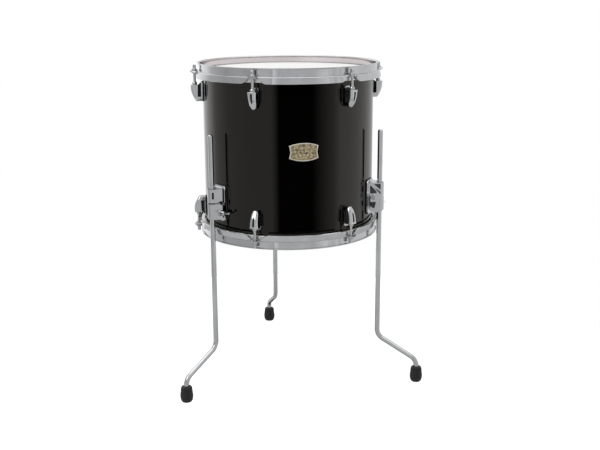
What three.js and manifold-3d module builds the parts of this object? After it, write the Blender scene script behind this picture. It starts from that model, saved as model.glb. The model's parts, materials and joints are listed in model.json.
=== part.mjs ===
// A three-legged floor tom: a gloss birch shell with a head and a triple-flanged hoop at each end,
// six lugs and six tension rods a head, and three clamp brackets that hold bent steel legs.
// Millimetres, +Z up. The origin is on the floor, in the middle of the footprint.

import * as THREE from "three";
import { mergeVertices } from "three/addons/utils/BufferGeometryUtils.js";
import Module from "manifold-3d";

const wasm = await Module();
wasm.setup();

// Driving dimensions
const TOTAL_HEIGHT = 670; // floor to the edge of the batter hoop
const SHELL_RADIUS = 177;
const SHELL_WALL = 6.5;
const SHELL_DEPTH = 322;
const RIM_REACH = 16; // how far each hoop stands past the bearing edge
const SHEET = 2.3; // steel sheet that the hoops are pressed from
const LUGS_PER_HEAD = 6;
const FIRST_LUG_AZIMUTH = 30;
const ROD_CIRCLE = 193.5; // radius of the circle that the tension rods stand on
const ROD_RADIUS = 2.8;
const LEG_CIRCLE = 200;
const LEG_RADIUS = 5.25;
const LEG_TOP = 537; // above the floor
const LEG_REACH = 88; // sideways, from the straight part to the foot
const BRACKET_HEIGHT = 397; // middle of the bracket above the floor
const BADGE_WIDTH = 58;
const BADGE_HEIGHT = 37;
const BADGE_ABOVE_MIDDLE = 16;

// Running and resting clearance between neighbours
const GAP = 0.3;

// Facets
const RING_SIDES = 48;
const FINE_RING_SIDES = 144;
const BORE_SIDES = 16;
const ROD_SIDES = 12;
const BOLT_SIDES = 10; // tension rods, washers and the holes that they pass through

// Where each leg stands round the drum, and how far it is turned in its clamp, in degrees
const LEGS = [
  { name: "left", azimuth: -60, turn: 10 },
  { name: "right", azimuth: 60, turn: -2 },
  { name: "rear", azimuth: 180, turn: 2 },
];

// Heights along the drum's axis are counted from the shell's middle
const EDGE_LEVEL = SHELL_DEPTH / 2;
const RIM_LEVEL = EDGE_LEVEL + RIM_REACH;
const MIDDLE_HEIGHT = TOTAL_HEIGHT - RIM_LEVEL;
const LEDGE_LEVEL = RIM_LEVEL - 16; // upper face of the hoop's ledge and ears
const SKIRT_LEVEL = RIM_LEVEL - 30; // free edge of the hoop's skirt
const WASHER_LEVEL = LEDGE_LEVEL + GAP;
const WASHER_THICKNESS = 1.6;
const COLLAR_LEVEL = WASHER_LEVEL + WASHER_THICKNESS + GAP;
const COLLAR_THICKNESS = 2;
const MOUTH_LEVEL = RIM_LEVEL - 44; // open end of a lug
const LUG_TIP_LEVEL = RIM_LEVEL - 78;
const ROD_END_LEVEL = MOUTH_LEVEL - 20;

const radians = THREE.MathUtils.degToRad;

// ---- materials ----

const finish = (color, roughness, metalness) =>
  new THREE.MeshStandardMaterial({ color, roughness, metalness });

const chrome = finish(0xc9ccd0, 0.12, 1);
const plainSteel = finish(0xb4b6b8, 0.3, 1);
const blackLacquer = finish(0x0d0d0e, 0.08, 0);
const coatedFilm = finish(0xf3f2ee, 0.55, 0);
const clearFilm = finish(0xdfe3e6, 0.2, 0);
const goldPlate = finish(0x8d7f55, 0.35, 0.8);
const blackRubber = finish(0x171718, 0.8, 0);
const nylon = finish(0x232325, 0.5, 0);

// ---- solids ----

// A closed geometry as a solid, with the triangles that collapse on a lathe's axis left out
function solid(geometry) {
  geometry.deleteAttribute("normal");
  geometry.deleteAttribute("uv");
  const merged = mergeVertices(geometry, 1e-4);
  const corners = merged.index.array;
  const kept = [];
  for (let i = 0; i < corners.length; i += 3) {
    const [a, b, c] = corners.slice(i, i + 3);
    if (a !== b && b !== c && c !== a) kept.push(a, b, c);
  }
  return new wasm.Manifold(
    new wasm.Mesh({
      numProp: 3,
      vertProperties: merged.attributes.position.array,
      triVerts: new Uint32Array(kept),
    }),
  );
}

function surface(body) {
  const mesh = body.getMesh();
  const geometry = new THREE.BufferGeometry();
  geometry.setAttribute("position", new THREE.BufferAttribute(mesh.vertProperties, 3));
  geometry.setIndex(new THREE.BufferAttribute(mesh.triVerts, 1));
  geometry.computeVertexNormals();
  return geometry;
}

const join = (first, ...others) => others.reduce((body, other) => body.add(other), first);
const cut = (first, ...others) => others.reduce((body, other) => body.subtract(other), first);

// A body of revolution about Z. The profile runs anticlockwise as [radius, height] pairs.
function turned(profile, sides) {
  const points = profile.map(([radius, height]) => new THREE.Vector2(radius, height));
  const geometry = new THREE.LatheGeometry(points, sides);
  geometry.rotateX(Math.PI / 2);
  return geometry;
}

const ringProfile = (inner, outer, low, high) => [
  [inner, low],
  [outer, low],
  [outer, high],
  [inner, high],
  [inner, low],
];

function outline(points) {
  return new THREE.Shape(points.map(([x, y]) => new THREE.Vector2(x, y)));
}

// Pieces on the drum's side are drawn at azimuth 0, facing -Y: X runs round the shell, and the
// distance from the drum's axis grows towards -Y.

// An outline drawn as (distance from the axis, height), extruded from x = low to x = high
function sideExtrusion(shape, low, high, curveSegments = 4) {
  const geometry = new THREE.ExtrudeGeometry(shape, {
    depth: high - low,
    bevelEnabled: false,
    curveSegments,
  });
  const axes = new THREE.Matrix4().makeBasis(
    new THREE.Vector3(0, -1, 0),
    new THREE.Vector3(0, 0, 1),
    new THREE.Vector3(-1, 0, 0),
  );
  geometry.applyMatrix4(axes);
  geometry.translate(high, 0, 0);
  return geometry;
}

// An outline drawn as (x, height), extruded outwards between two distances from the axis
function frontExtrusion(shape, inner, outer, curveSegments = 4) {
  const geometry = new THREE.ExtrudeGeometry(shape, {
    depth: outer - inner,
    bevelEnabled: false,
    curveSegments,
  });
  geometry.rotateX(Math.PI / 2);
  geometry.translate(0, -inner, 0);
  return geometry;
}

// An outline drawn as (x, y), extruded upwards between two heights
function planExtrusion(shape, low, high, curveSegments = 4) {
  const geometry = new THREE.ExtrudeGeometry(shape, {
    depth: high - low,
    bevelEnabled: false,
    curveSegments,
  });
  geometry.translate(0, 0, low);
  return geometry;
}

// An upright cylinder at azimuth 0
function upright(radius, distance, low, high, sides = BORE_SIDES, x = 0) {
  const geometry = new THREE.CylinderGeometry(radius, radius, high - low, sides);
  geometry.rotateX(Math.PI / 2);
  geometry.translate(x, -distance, (low + high) / 2);
  return geometry;
}

// A cylinder lying along X
function crosswise(radius, distance, height, low, high, sides = BORE_SIDES) {
  const geometry = new THREE.CylinderGeometry(radius, radius, high - low, sides);
  geometry.rotateZ(Math.PI / 2);
  geometry.translate((low + high) / 2, -distance, height);
  return geometry;
}

// ---- shell and badge ----

// A ply tube with a 45 degree bearing edge at each end
function shell() {
  const inner = SHELL_RADIUS - SHELL_WALL;
  const peak = SHELL_RADIUS - 2;
  const outerDrop = 2;
  const innerDrop = peak - inner;
  const profile = [
    [inner, -EDGE_LEVEL + innerDrop],
    [peak, -EDGE_LEVEL],
    [SHELL_RADIUS, -EDGE_LEVEL + outerDrop],
    [SHELL_RADIUS, EDGE_LEVEL - outerDrop],
    [peak, EDGE_LEVEL],
    [inner, EDGE_LEVEL - innerDrop],
    [inner, -EDGE_LEVEL + innerDrop],
  ];
  return solid(turned(profile, RING_SIDES));
}

// A barrel-shaped plate bent round the shell: crowned top and bottom edges, waisted sides
function badge() {
  const half = BADGE_WIDTH / 2;
  const corner = BADGE_HEIGHT / 2 - 6;
  const crown = BADGE_HEIGHT / 2 + 5;
  const waist = half - 2.5;
  const thickness = 1.3;
  const shape = new THREE.Shape();
  shape.moveTo(-half, -corner);
  shape.quadraticCurveTo(0, -crown, half, -corner);
  shape.lineTo(waist, 0);
  shape.lineTo(half, corner);
  shape.quadraticCurveTo(0, crown, -half, corner);
  shape.lineTo(-waist, 0);
  const plate = solid(frontExtrusion(shape, SHELL_RADIUS - 10, SHELL_RADIUS + 10, 10));
  const inner = SHELL_RADIUS + GAP;
  const skin = turned(
    ringProfile(inner, inner + thickness, -BADGE_HEIGHT, BADGE_HEIGHT),
    FINE_RING_SIDES,
  );
  return plate.intersect(solid(skin));
}

// ---- heads and hoops ----

// Film stretched over the bearing edge, down a short collar and into the flesh hoop
function head() {
  const film = 0.6;
  const under = EDGE_LEVEL + GAP;
  const fleshTop = LEDGE_LEVEL - SHEET - GAP;
  const fleshHeight = 9;
  const fleshInner = SHELL_RADIUS + 2.6;
  const fleshOuter = SHELL_RADIUS + 10.4;
  const profile = [
    [0, under],
    [SHELL_RADIUS - 2.2, under],
    [SHELL_RADIUS + 0.6, under - 2],
    [SHELL_RADIUS + 1.6, under - 5],
    [fleshInner, fleshTop - fleshHeight],
    [fleshOuter, fleshTop - fleshHeight],
    [fleshOuter, fleshTop],
    [fleshInner + 0.6, fleshTop],
    [SHELL_RADIUS + 1.6, under - 1.5],
    [SHELL_RADIUS - 1, under + film],
    [0, under + film],
  ];
  return solid(turned(profile, RING_SIDES));
}

// The hoop's section: outward lip, upright wall, ledge over the flesh hoop, sloping skirt
function hoopSection() {
  const wall = SHELL_RADIUS + 5.7;
  const lip = wall + 5.5;
  const ledge = wall + 8;
  const skirt = wall + 10.7;
  const underLedge = LEDGE_LEVEL - SHEET;
  return [
    [wall, underLedge],
    [ledge - SHEET + 0.6, underLedge],
    [skirt - SHEET, SKIRT_LEVEL],
    [skirt, SKIRT_LEVEL],
    [ledge, LEDGE_LEVEL],
    [wall + SHEET, LEDGE_LEVEL],
    [wall + SHEET, RIM_LEVEL - SHEET],
    [lip, RIM_LEVEL - SHEET],
    [lip, RIM_LEVEL],
    [wall, RIM_LEVEL],
    [wall, underLedge],
  ];
}

// What is cut from the skirt at a rod: its free edge sweeps up to the ear on both sides
function skirtNotch() {
  const narrow = 9;
  const wide = 28;
  const top = LEDGE_LEVEL - SHEET;
  const bottom = SKIRT_LEVEL - 1;
  const sweepX = narrow + 3;
  const sweepLevel = SKIRT_LEVEL + 2;
  const shape = new THREE.Shape();
  shape.moveTo(-wide, bottom);
  shape.lineTo(wide, bottom);
  shape.quadraticCurveTo(sweepX, sweepLevel, narrow, top);
  shape.lineTo(-narrow, top);
  shape.quadraticCurveTo(-sweepX, sweepLevel, -wide, bottom);
  return frontExtrusion(shape, SHELL_RADIUS + 8, ROD_CIRCLE + 6, 3);
}

// The flat ear that a rod passes through
function ear() {
  const root = SHELL_RADIUS + 8;
  const halfRoot = 13;
  const end = 7.5;
  const shape = new THREE.Shape();
  shape.moveTo(-halfRoot, -root);
  shape.lineTo(-end, -ROD_CIRCLE);
  shape.absarc(0, -ROD_CIRCLE, end, Math.PI, 2 * Math.PI, false);
  shape.lineTo(halfRoot, -root);
  return planExtrusion(shape, LEDGE_LEVEL - SHEET, LEDGE_LEVEL, 6);
}

function hoop(azimuths) {
  let body = solid(turned(hoopSection(), RING_SIDES));
  const rodHole = ROD_RADIUS + 0.7;
  for (const azimuth of azimuths) {
    const [notch, plate, hole] = [
      skirtNotch(),
      ear(),
      upright(rodHole, ROD_CIRCLE, LEDGE_LEVEL - SHEET - 1, LEDGE_LEVEL + 1, BOLT_SIDES),
    ].map((geometry) => solid(geometry.rotateZ(radians(azimuth))));
    body = cut(join(cut(body, notch), plate), hole);
  }
  return body;
}

// ---- lugs and tension rods ----

// A single-ended lug: a base plate on the shell and an arm round the rod that leans back to a blunt
// tip, so that an open wedge is left between them
function lug() {
  const back = SHELL_RADIUS + GAP;
  const baseFace = back + 3.7;
  const baseTop = MOUTH_LEVEL + 6.5;
  const armFace = ROD_CIRCLE + 8.3;
  const armBack = ROD_CIRCLE - 5.6;
  const lean = 0.8; // of the arm's back, from its mouth to the wedge's floor
  const tipFace = ROD_CIRCLE - 1.8;
  const halfWidth = 8.7;
  const wedgeFloor = LUG_TIP_LEVEL + 9.5;
  const shoulder = LUG_TIP_LEVEL + 8;
  const shoulderX = 6.9;
  const tipX = 4.5;
  const slotHalf = 2.1;

  const side = new THREE.Shape();
  side.moveTo(back, LUG_TIP_LEVEL);
  side.lineTo(tipFace, LUG_TIP_LEVEL);
  side.quadraticCurveTo(armFace - 1, wedgeFloor + 5, armFace, MOUTH_LEVEL - 8);
  side.lineTo(armFace, MOUTH_LEVEL);
  side.lineTo(armBack, MOUTH_LEVEL);
  side.lineTo(armBack + lean, wedgeFloor);
  side.lineTo(baseFace, wedgeFloor);
  side.lineTo(baseFace, baseTop);
  side.lineTo(back, baseTop);

  const front = new THREE.Shape();
  front.moveTo(-halfWidth + 1, baseTop + 1);
  front.lineTo(-halfWidth, MOUTH_LEVEL);
  front.lineTo(-shoulderX, shoulder);
  front.quadraticCurveTo(-tipX, LUG_TIP_LEVEL, 0, LUG_TIP_LEVEL);
  front.quadraticCurveTo(tipX, LUG_TIP_LEVEL, shoulderX, shoulder);
  front.lineTo(halfWidth, MOUTH_LEVEL);
  front.lineTo(halfWidth - 1, baseTop + 1);

  const blank = solid(sideExtrusion(side, -halfWidth - 1, halfWidth + 1, 5)).intersect(
    solid(frontExtrusion(front, back - 1, armFace + 1, 3)),
  );
  const bore = upright(
    ROD_RADIUS + 0.5,
    ROD_CIRCLE,
    ROD_END_LEVEL - 2,
    MOUTH_LEVEL + 1,
    BOLT_SIDES,
  );
  const slot = outline([
    [-slotHalf, ROD_END_LEVEL],
    [slotHalf, ROD_END_LEVEL],
    [slotHalf, MOUTH_LEVEL - 2.5],
    [-slotHalf, MOUTH_LEVEL - 2.5],
  ]);
  return cut(blank, solid(bore), solid(frontExtrusion(slot, ROD_CIRCLE, armFace + 1)));
}

// A threaded rod with a collar and a square head for a drum key
function tensionRod() {
  const collarRadius = 5.5;
  const collarTop = COLLAR_LEVEL + COLLAR_THICKNESS;
  const headWidth = 6.6;
  const headHeight = 8.3;
  const profile = [
    [0, ROD_END_LEVEL],
    [ROD_RADIUS - 0.6, ROD_END_LEVEL],
    [ROD_RADIUS, ROD_END_LEVEL + 1],
    [ROD_RADIUS, COLLAR_LEVEL],
    [collarRadius, COLLAR_LEVEL],
    [collarRadius, collarTop],
    [0, collarTop],
  ];
  const shaft = turned(profile, BOLT_SIDES);
  shaft.translate(0, -ROD_CIRCLE, 0);
  const key = new THREE.BoxGeometry(headWidth, headWidth, headHeight);
  key.translate(0, -ROD_CIRCLE, collarTop + headHeight / 2 - 0.1);
  return join(solid(shaft), solid(key));
}

function rodWasher() {
  const profile = ringProfile(
    ROD_RADIUS + 0.4,
    6.5,
    WASHER_LEVEL,
    WASHER_LEVEL + WASHER_THICKNESS,
  );
  const ring = turned(profile, BOLT_SIDES);
  ring.translate(0, -ROD_CIRCLE, 0);
  return solid(ring);
}

// ---- brackets and their clamps ----

// The upper half of the bracket is a closed block round the leg. The lower half is split: a jaw
// slides sideways on two dowels, and a wing screw between the leg and the shell pulls it shut.
const SCREW_DISTANCE = 189;
const SCREW_LEVEL = -17; // below the bracket's middle
const SCREW_RADIUS = 2.9;
const DOWEL_LEVELS = [-6, -27];
const DOWEL_RADIUS = 1.5;
const DOWEL_END = 7; // how far each dowel reaches into the jaw
const SCREW_END = 8; // and the screw into the fixed half
const SPLIT = 0.6;
const CASTING_HALF_WIDTH = 16.5; // next to the plate
const CASTING_TOP = 31;
const CASTING_BOTTOM = -31;
const BARREL_RADIUS = 9; // of the rounded part that holds the leg
const FLANK_DISTANCE = 187; // where the flanks start to close in on the barrel
const SLEEVE_RADIUS = LEG_RADIUS + 1;
const BORE_RADIUS = SLEEVE_RADIUS + GAP;
const HUB_RADIUS = 4.5;
const PLATE_FACE = SHELL_RADIUS + 4.2;
const PLATE_HALF_HEIGHT = 36;

const legBore = () =>
  upright(BORE_RADIUS, LEG_CIRCLE, CASTING_BOTTOM - 1, CASTING_TOP + 1);

// The plate against the shell, with rounded corners and a hollow back that follows the shell
function bracketPlate() {
  const halfWidth = 18;
  const corner = 7;
  const x = halfWidth - corner;
  const z = PLATE_HALF_HEIGHT - corner;
  const shape = new THREE.Shape();
  shape.absarc(x, z, corner, 0, Math.PI / 2, false);
  shape.absarc(-x, z, corner, Math.PI / 2, Math.PI, false);
  shape.absarc(-x, -z, corner, Math.PI, 1.5 * Math.PI, false);
  shape.absarc(x, -z, corner, 1.5 * Math.PI, 2 * Math.PI, false);
  const plate = solid(frontExtrusion(shape, SHELL_RADIUS - 8, PLATE_FACE, 2));
  const end = PLATE_HALF_HEIGHT + 1;
  return cut(plate, solid(upright(SHELL_RADIUS + GAP, 0, -end, end, FINE_RING_SIDES)));
}

// The casting from above: flat flanks next to the plate that run on to a barrel round the leg
function castingPlan(inner, low, high) {
  const corner = new THREE.Vector2(CASTING_HALF_WIDTH, FLANK_DISTANCE - LEG_CIRCLE);
  const tangent = Math.atan2(corner.y, corner.x) + Math.acos(BARREL_RADIUS / corner.length());
  const shape = new THREE.Shape();
  shape.moveTo(-corner.x, -inner);
  shape.lineTo(-corner.x, -FLANK_DISTANCE);
  shape.absarc(0, -LEG_CIRCLE, BARREL_RADIUS, Math.PI + tangent, 2 * Math.PI - tangent, false);
  shape.lineTo(corner.x, -FLANK_DISTANCE);
  shape.lineTo(corner.x, -inner);
  return solid(planExtrusion(shape, low, high, 10));
}

// The casting from the side: a shoulder that rises to the plate, and a bottom that tapers in
function castingSide(low, high) {
  const inner = PLATE_FACE - 1;
  const face = LEG_CIRCLE + BARREL_RADIUS + 1;
  const shape = outline([
    [inner, CASTING_BOTTOM + 9],
    [inner + 9, CASTING_BOTTOM],
    [face - 6, CASTING_BOTTOM],
    [face, CASTING_BOTTOM + 7],
    [face, CASTING_TOP - 3],
    [face - 3, CASTING_TOP],
    [PLATE_FACE + 6, CASTING_TOP],
    [PLATE_FACE, PLATE_HALF_HEIGHT - 2],
    [inner, PLATE_HALF_HEIGHT - 2],
  ]);
  return solid(sideExtrusion(shape, low, high));
}

function bracket() {
  const flank = CASTING_HALF_WIDTH;
  const blockFloor = 3;
  const room = 40; // reaches past every outer face
  const casting = castingPlan(PLATE_FACE - 1, -room, room).intersect(castingSide(-flank, flank));
  const jawRoom = new THREE.BoxGeometry(room, 2 * room, room);
  jawRoom.translate(room / 2 - SPLIT, -PLATE_FACE - room, blockFloor - room / 2);

  // Pockets in the fixed flank, with a pair of ribs that slant down from the plate to the leg
  const pocket = (points, depth) => solid(sideExtrusion(outline(points), -room, -depth));
  const inner = PLATE_FACE + 3;
  const outer = LEG_CIRCLE + 5;
  const underTop = CASTING_TOP - 2.5;
  const deep = BORE_RADIUS + 1.2;
  const shallow = flank - 5;
  const pockets = [
    pocket([[inner + 7.3, underTop], [outer, underTop], [outer, 15.5]], deep),
    pocket([[inner, underTop - 1], [inner, 9], [LEG_CIRCLE - 1, 9]], shallow),
    pocket([[inner + 8.8, 21], [outer, 5.5], [outer, 11]], deep),
    pocket([[inner, -9], [inner, -17], [inner + 8.8, -24], [inner + 11.8, -11]], shallow),
  ];

  // A dark hollow over the jaw and an upright slot, both in the other flank
  const recess = outline([
    [PLATE_FACE + 2, blockFloor - 1],
    [LEG_CIRCLE - 6, blockFloor - 1],
    [LEG_CIRCLE - 8, 5.5],
    [PLATE_FACE + 2, 6.5],
  ]);
  const slot = outline([
    [LEG_CIRCLE + 1.8, 11],
    [LEG_CIRCLE + 5.2, 11],
    [LEG_CIRCLE + 5.2, 25],
    [LEG_CIRCLE + 1.8, 25],
  ]);
  const bossDistance = LEG_CIRCLE - 8;
  const bossLevel = 2;
  const bossFace = -flank - 0.8;
  const boss = crosswise(6, bossDistance, bossLevel, bossFace, -deep + 1, BORE_SIDES);
  const dimple = crosswise(2.6, bossDistance, bossLevel, bossFace - 1, bossFace + 2.3, ROD_SIDES);
  const screwHole = crosswise(
    SCREW_RADIUS + 0.4,
    SCREW_DISTANCE,
    SCREW_LEVEL,
    -SCREW_END - 0.5,
    0,
    ROD_SIDES,
  );
  const dowels = DOWEL_LEVELS.map((level) =>
    solid(crosswise(DOWEL_RADIUS, SCREW_DISTANCE, level, -4, DOWEL_END, BOLT_SIDES)),
  );
  const ribbed = cut(
    join(cut(casting, solid(jawRoom), ...pockets), solid(boss)),
    solid(sideExtrusion(recess, BORE_RADIUS + 2, flank + 1)),
    solid(sideExtrusion(slot, BORE_RADIUS - 2, flank)),
    solid(dimple),
    solid(screwHole),
    solid(legBore()),
  );
  return join(ribbed, bracketPlate(), ...dowels);
}

function clampJaw() {
  const inner = PLATE_FACE + 1.8;
  const top = 0.7;
  const flank = CASTING_HALF_WIDTH;
  const half = castingPlan(inner, CASTING_BOTTOM - 1, top).intersect(castingSide(SPLIT, flank));
  const seat = solid(
    crosswise(HUB_RADIUS + 1.5, SCREW_DISTANCE, SCREW_LEVEL, BORE_RADIUS, flank, BORE_SIDES),
  );
  const holes = [
    crosswise(SCREW_RADIUS + 0.4, SCREW_DISTANCE, SCREW_LEVEL, 0, flank + 1, ROD_SIDES),
    ...DOWEL_LEVELS.map((level) =>
      crosswise(DOWEL_RADIUS + GAP, SCREW_DISTANCE, level, 0, DOWEL_END + 0.5, BOLT_SIDES),
    ),
    legBore(),
  ];
  return cut(join(half, seat), ...holes.map((geometry) => solid(geometry)));
}

// A screw with a round hub and two short flat wings, which clear the shell as they turn
function wingScrew() {
  const seat = CASTING_HALF_WIDTH + GAP;
  const shaft = solid(
    crosswise(SCREW_RADIUS, SCREW_DISTANCE, SCREW_LEVEL, -SCREW_END, seat + 1, ROD_SIDES),
  );
  const hub = solid(crosswise(HUB_RADIUS, SCREW_DISTANCE, SCREW_LEVEL, seat, seat + 9));
  const thickness = 3.4;
  const wing = [
    [seat + 3.5, 3],
    [seat + 13, 7.8],
    [seat + 15.5, 8],
    [seat + 17, 6.6],
    [seat + 16, 4.8],
    [seat + 8.5, 1.2],
  ];
  const mirrored = wing.map(([x, y]) => [x, -y]).reverse();
  const wings = planExtrusion(
    outline([...mirrored, ...wing]),
    SCREW_LEVEL - thickness / 2,
    SCREW_LEVEL + thickness / 2,
  );
  wings.translate(0, -SCREW_DISTANCE, 0);
  return join(shaft, hub, solid(wings));
}

// The nylon sleeve that grips the leg inside the clamp
function legSleeve() {
  const inset = 0.5;
  const profile = ringProfile(
    LEG_RADIUS + GAP,
    SLEEVE_RADIUS,
    CASTING_BOTTOM + inset,
    CASTING_TOP - inset,
  );
  const ring = turned(profile, BORE_SIDES);
  ring.translate(0, -LEG_CIRCLE, 0);
  return solid(ring);
}

// ---- legs and feet ----

const FOOT_HEIGHT = 33;
const FOOT_BORE_FLOOR = 11;

// A path whose stations are spread by parameter, not by length, so that they can crowd the bends
class StationPath extends THREE.Curve {
  constructor(stations) {
    super();
    this.stations = stations;
  }

  getPoint(t) {
    const position = t * (this.stations.length - 1);
    const index = Math.min(Math.floor(position), this.stations.length - 2);
    return this.stations[index].clone().lerp(this.stations[index + 1], position - index);
  }

  getTangent(t) {
    const step = 0.5 / (this.stations.length - 1);
    const ahead = this.getPoint(Math.min(t + step, 1));
    return ahead.sub(this.getPoint(Math.max(t - step, 0))).normalize();
  }

  getPointAt(u) {
    return this.getPoint(u);
  }

  getTangentAt(u) {
    return this.getTangent(u);
  }
}

// The leg's middle line in its own plane: straight down, out to the side, and down to the foot
function legStations() {
  const bendLevel = 92.5;
  const lowLevel = 48;
  const bendReach = lowLevel - FOOT_HEIGHT - 1;
  const bendSteps = 5;
  const corners = [
    new THREE.Vector3(0, 0, LEG_TOP),
    new THREE.Vector3(0, 0, bendLevel),
    new THREE.Vector3(0, -LEG_REACH, lowLevel),
    new THREE.Vector3(0, -LEG_REACH, FOOT_BORE_FLOOR + GAP),
  ];
  const stations = [corners[0]];
  for (const i of [1, 2]) {
    const towards = (corner) => {
      const arm = corner.clone().sub(corners[i]);
      return corners[i].clone().addScaledVector(arm.normalize(), bendReach);
    };
    const bend = new THREE.QuadraticBezierCurve3(
      towards(corners[i - 1]),
      corners[i],
      towards(corners[i + 1]),
    );
    stations.push(...bend.getPoints(bendSteps));
  }
  stations.push(corners[3]);
  return stations;
}

function leg() {
  const stations = legStations();
  const section = new THREE.Shape();
  section.absarc(0, 0, LEG_RADIUS, 0, 2 * Math.PI, false);
  const geometry = new THREE.ExtrudeGeometry(section, {
    steps: stations.length - 1,
    extrudePath: new StationPath(stations),
    curveSegments: ROD_SIDES / 2,
  });
  return solid(geometry);
}

// A barrel-shaped rubber foot with a blind bore for the leg
function foot() {
  const bore = LEG_RADIUS + GAP;
  const profile = [
    [0, 0],
    [7.5, 0],
    [11, 2.5],
    [12.9, 8],
    [13.1, 15],
    [12.2, 24],
    [10.9, 31],
    [9.2, FOOT_HEIGHT],
    [bore, FOOT_HEIGHT],
    [bore, FOOT_BORE_FLOOR],
    [0, FOOT_BORE_FLOOR],
  ];
  const geometry = turned(profile, BORE_SIDES);
  geometry.translate(0, -LEG_REACH, 0);
  return solid(geometry);
}

// ---- assembly ----

function place(group, name, geometry, material, azimuth = 0) {
  const mesh = new THREE.Mesh(geometry, material);
  mesh.name = name;
  mesh.rotation.z = radians(azimuth);
  group.add(mesh);
  return mesh;
}

const lugAzimuths = Array.from(
  { length: LUGS_PER_HEAD },
  (_, i) => FIRST_LUG_AZIMUTH + (i * 360) / LUGS_PER_HEAD,
);

const lugSurface = surface(lug());
const rodSurface = surface(tensionRod());
const washerSurface = surface(rodWasher());
const headSurface = surface(head());
const hoopSurface = surface(hoop(lugAzimuths));

// Head, hoop, lugs, rods and washers of one end, drawn as the upper end
function tensionSide(end, film, flipped) {
  const side = new THREE.Group();
  side.position.z = MIDDLE_HEIGHT;
  place(side, `${end}_head`, headSurface, film);
  place(side, `${end}_hoop`, hoopSurface, chrome);
  lugAzimuths.forEach((azimuth, i) => {
    const drawn = flipped ? 180 - azimuth : azimuth;
    place(side, `${end}_lug_${i + 1}`, lugSurface, chrome, drawn);
    place(side, `${end}_tension_rod_${i + 1}`, rodSurface, plainSteel, drawn);
    place(side, `${end}_rod_washer_${i + 1}`, washerSurface, plainSteel, drawn);
  });
  if (flipped) side.rotation.x = Math.PI;
  return side;
}

const bracketSurface = surface(bracket());
const jawSurface = surface(clampJaw());
const wingScrewSurface = surface(wingScrew());
const sleeveSurface = surface(legSleeve());
const legSurface = surface(leg());
const footSurface = surface(foot());

// One leg with its bracket; the leg stands on the floor, turned a little in its clamp
function legStation({ name, azimuth, turn }) {
  const station = new THREE.Group();
  station.rotation.z = radians(azimuth);

  const clamp = new THREE.Group();
  clamp.position.z = BRACKET_HEIGHT;
  place(clamp, `leg_bracket_${name}`, bracketSurface, chrome);
  place(clamp, `clamp_jaw_${name}`, jawSurface, chrome);
  place(clamp, `wing_screw_${name}`, wingScrewSurface, chrome);
  place(clamp, `leg_sleeve_${name}`, sleeveSurface, nylon);
  station.add(clamp);

  const standing = new THREE.Group();
  standing.position.y = -LEG_CIRCLE;
  place(standing, `leg_${name}`, legSurface, chrome, turn);
  place(standing, `leg_foot_${name}`, footSurface, blackRubber, turn);
  station.add(standing);
  return station;
}

const drum = new THREE.Group();
const body = new THREE.Group();
body.position.z = MIDDLE_HEIGHT;
place(body, "shell", surface(shell()), blackLacquer);
place(body, "badge", surface(badge()), goldPlate).position.z = BADGE_ABOVE_MIDDLE;
drum.add(body);
drum.add(tensionSide("batter", coatedFilm, false));
drum.add(tensionSide("resonant", clearFilm, true));
LEGS.forEach((entry) => drum.add(legStation(entry)));

// Bring the middle of the footprint to the origin
const extent = new THREE.Box3().setFromObject(drum, true);
const middle = extent.getCenter(new THREE.Vector3());
drum.position.set(-middle.x, -middle.y, -extent.min.z);

export default drum;
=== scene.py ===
import json
from functools import partial
from math import acos, atan2, cos, pi, radians, sin, sqrt, tan

import bmesh
import bpy
from mathutils import Matrix, Vector

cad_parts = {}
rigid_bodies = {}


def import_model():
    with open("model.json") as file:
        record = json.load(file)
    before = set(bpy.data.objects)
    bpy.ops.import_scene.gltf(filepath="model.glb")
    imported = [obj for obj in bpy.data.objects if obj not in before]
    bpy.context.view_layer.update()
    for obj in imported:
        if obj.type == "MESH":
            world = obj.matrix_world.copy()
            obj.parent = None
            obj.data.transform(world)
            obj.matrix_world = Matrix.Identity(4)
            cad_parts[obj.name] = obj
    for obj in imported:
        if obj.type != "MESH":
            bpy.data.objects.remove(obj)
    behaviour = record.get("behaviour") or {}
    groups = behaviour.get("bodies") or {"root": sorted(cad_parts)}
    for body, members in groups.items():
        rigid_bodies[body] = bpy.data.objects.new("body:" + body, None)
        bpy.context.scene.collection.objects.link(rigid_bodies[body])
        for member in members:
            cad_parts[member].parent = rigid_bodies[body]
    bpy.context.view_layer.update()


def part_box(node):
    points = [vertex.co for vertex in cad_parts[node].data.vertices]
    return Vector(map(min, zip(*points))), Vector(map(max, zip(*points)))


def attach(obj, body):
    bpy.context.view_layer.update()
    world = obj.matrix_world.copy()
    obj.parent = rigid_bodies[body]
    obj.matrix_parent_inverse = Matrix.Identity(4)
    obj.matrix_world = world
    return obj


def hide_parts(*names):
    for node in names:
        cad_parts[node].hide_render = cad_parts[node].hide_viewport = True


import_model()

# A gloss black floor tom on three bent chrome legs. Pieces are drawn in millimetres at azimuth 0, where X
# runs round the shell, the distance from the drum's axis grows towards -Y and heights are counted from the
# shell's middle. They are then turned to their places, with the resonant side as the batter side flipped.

MM = 0.001

shell_low, shell_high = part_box("shell")
MIDDLE = (shell_low + shell_high) / 2
SHELL_RADIUS = (shell_high.x - shell_low.x) / 2 / MM
EDGE = (shell_high.z - shell_low.z) / 2 / MM
RIM = (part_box("batter_hoop")[1].z - MIDDLE.z) / MM

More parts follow.
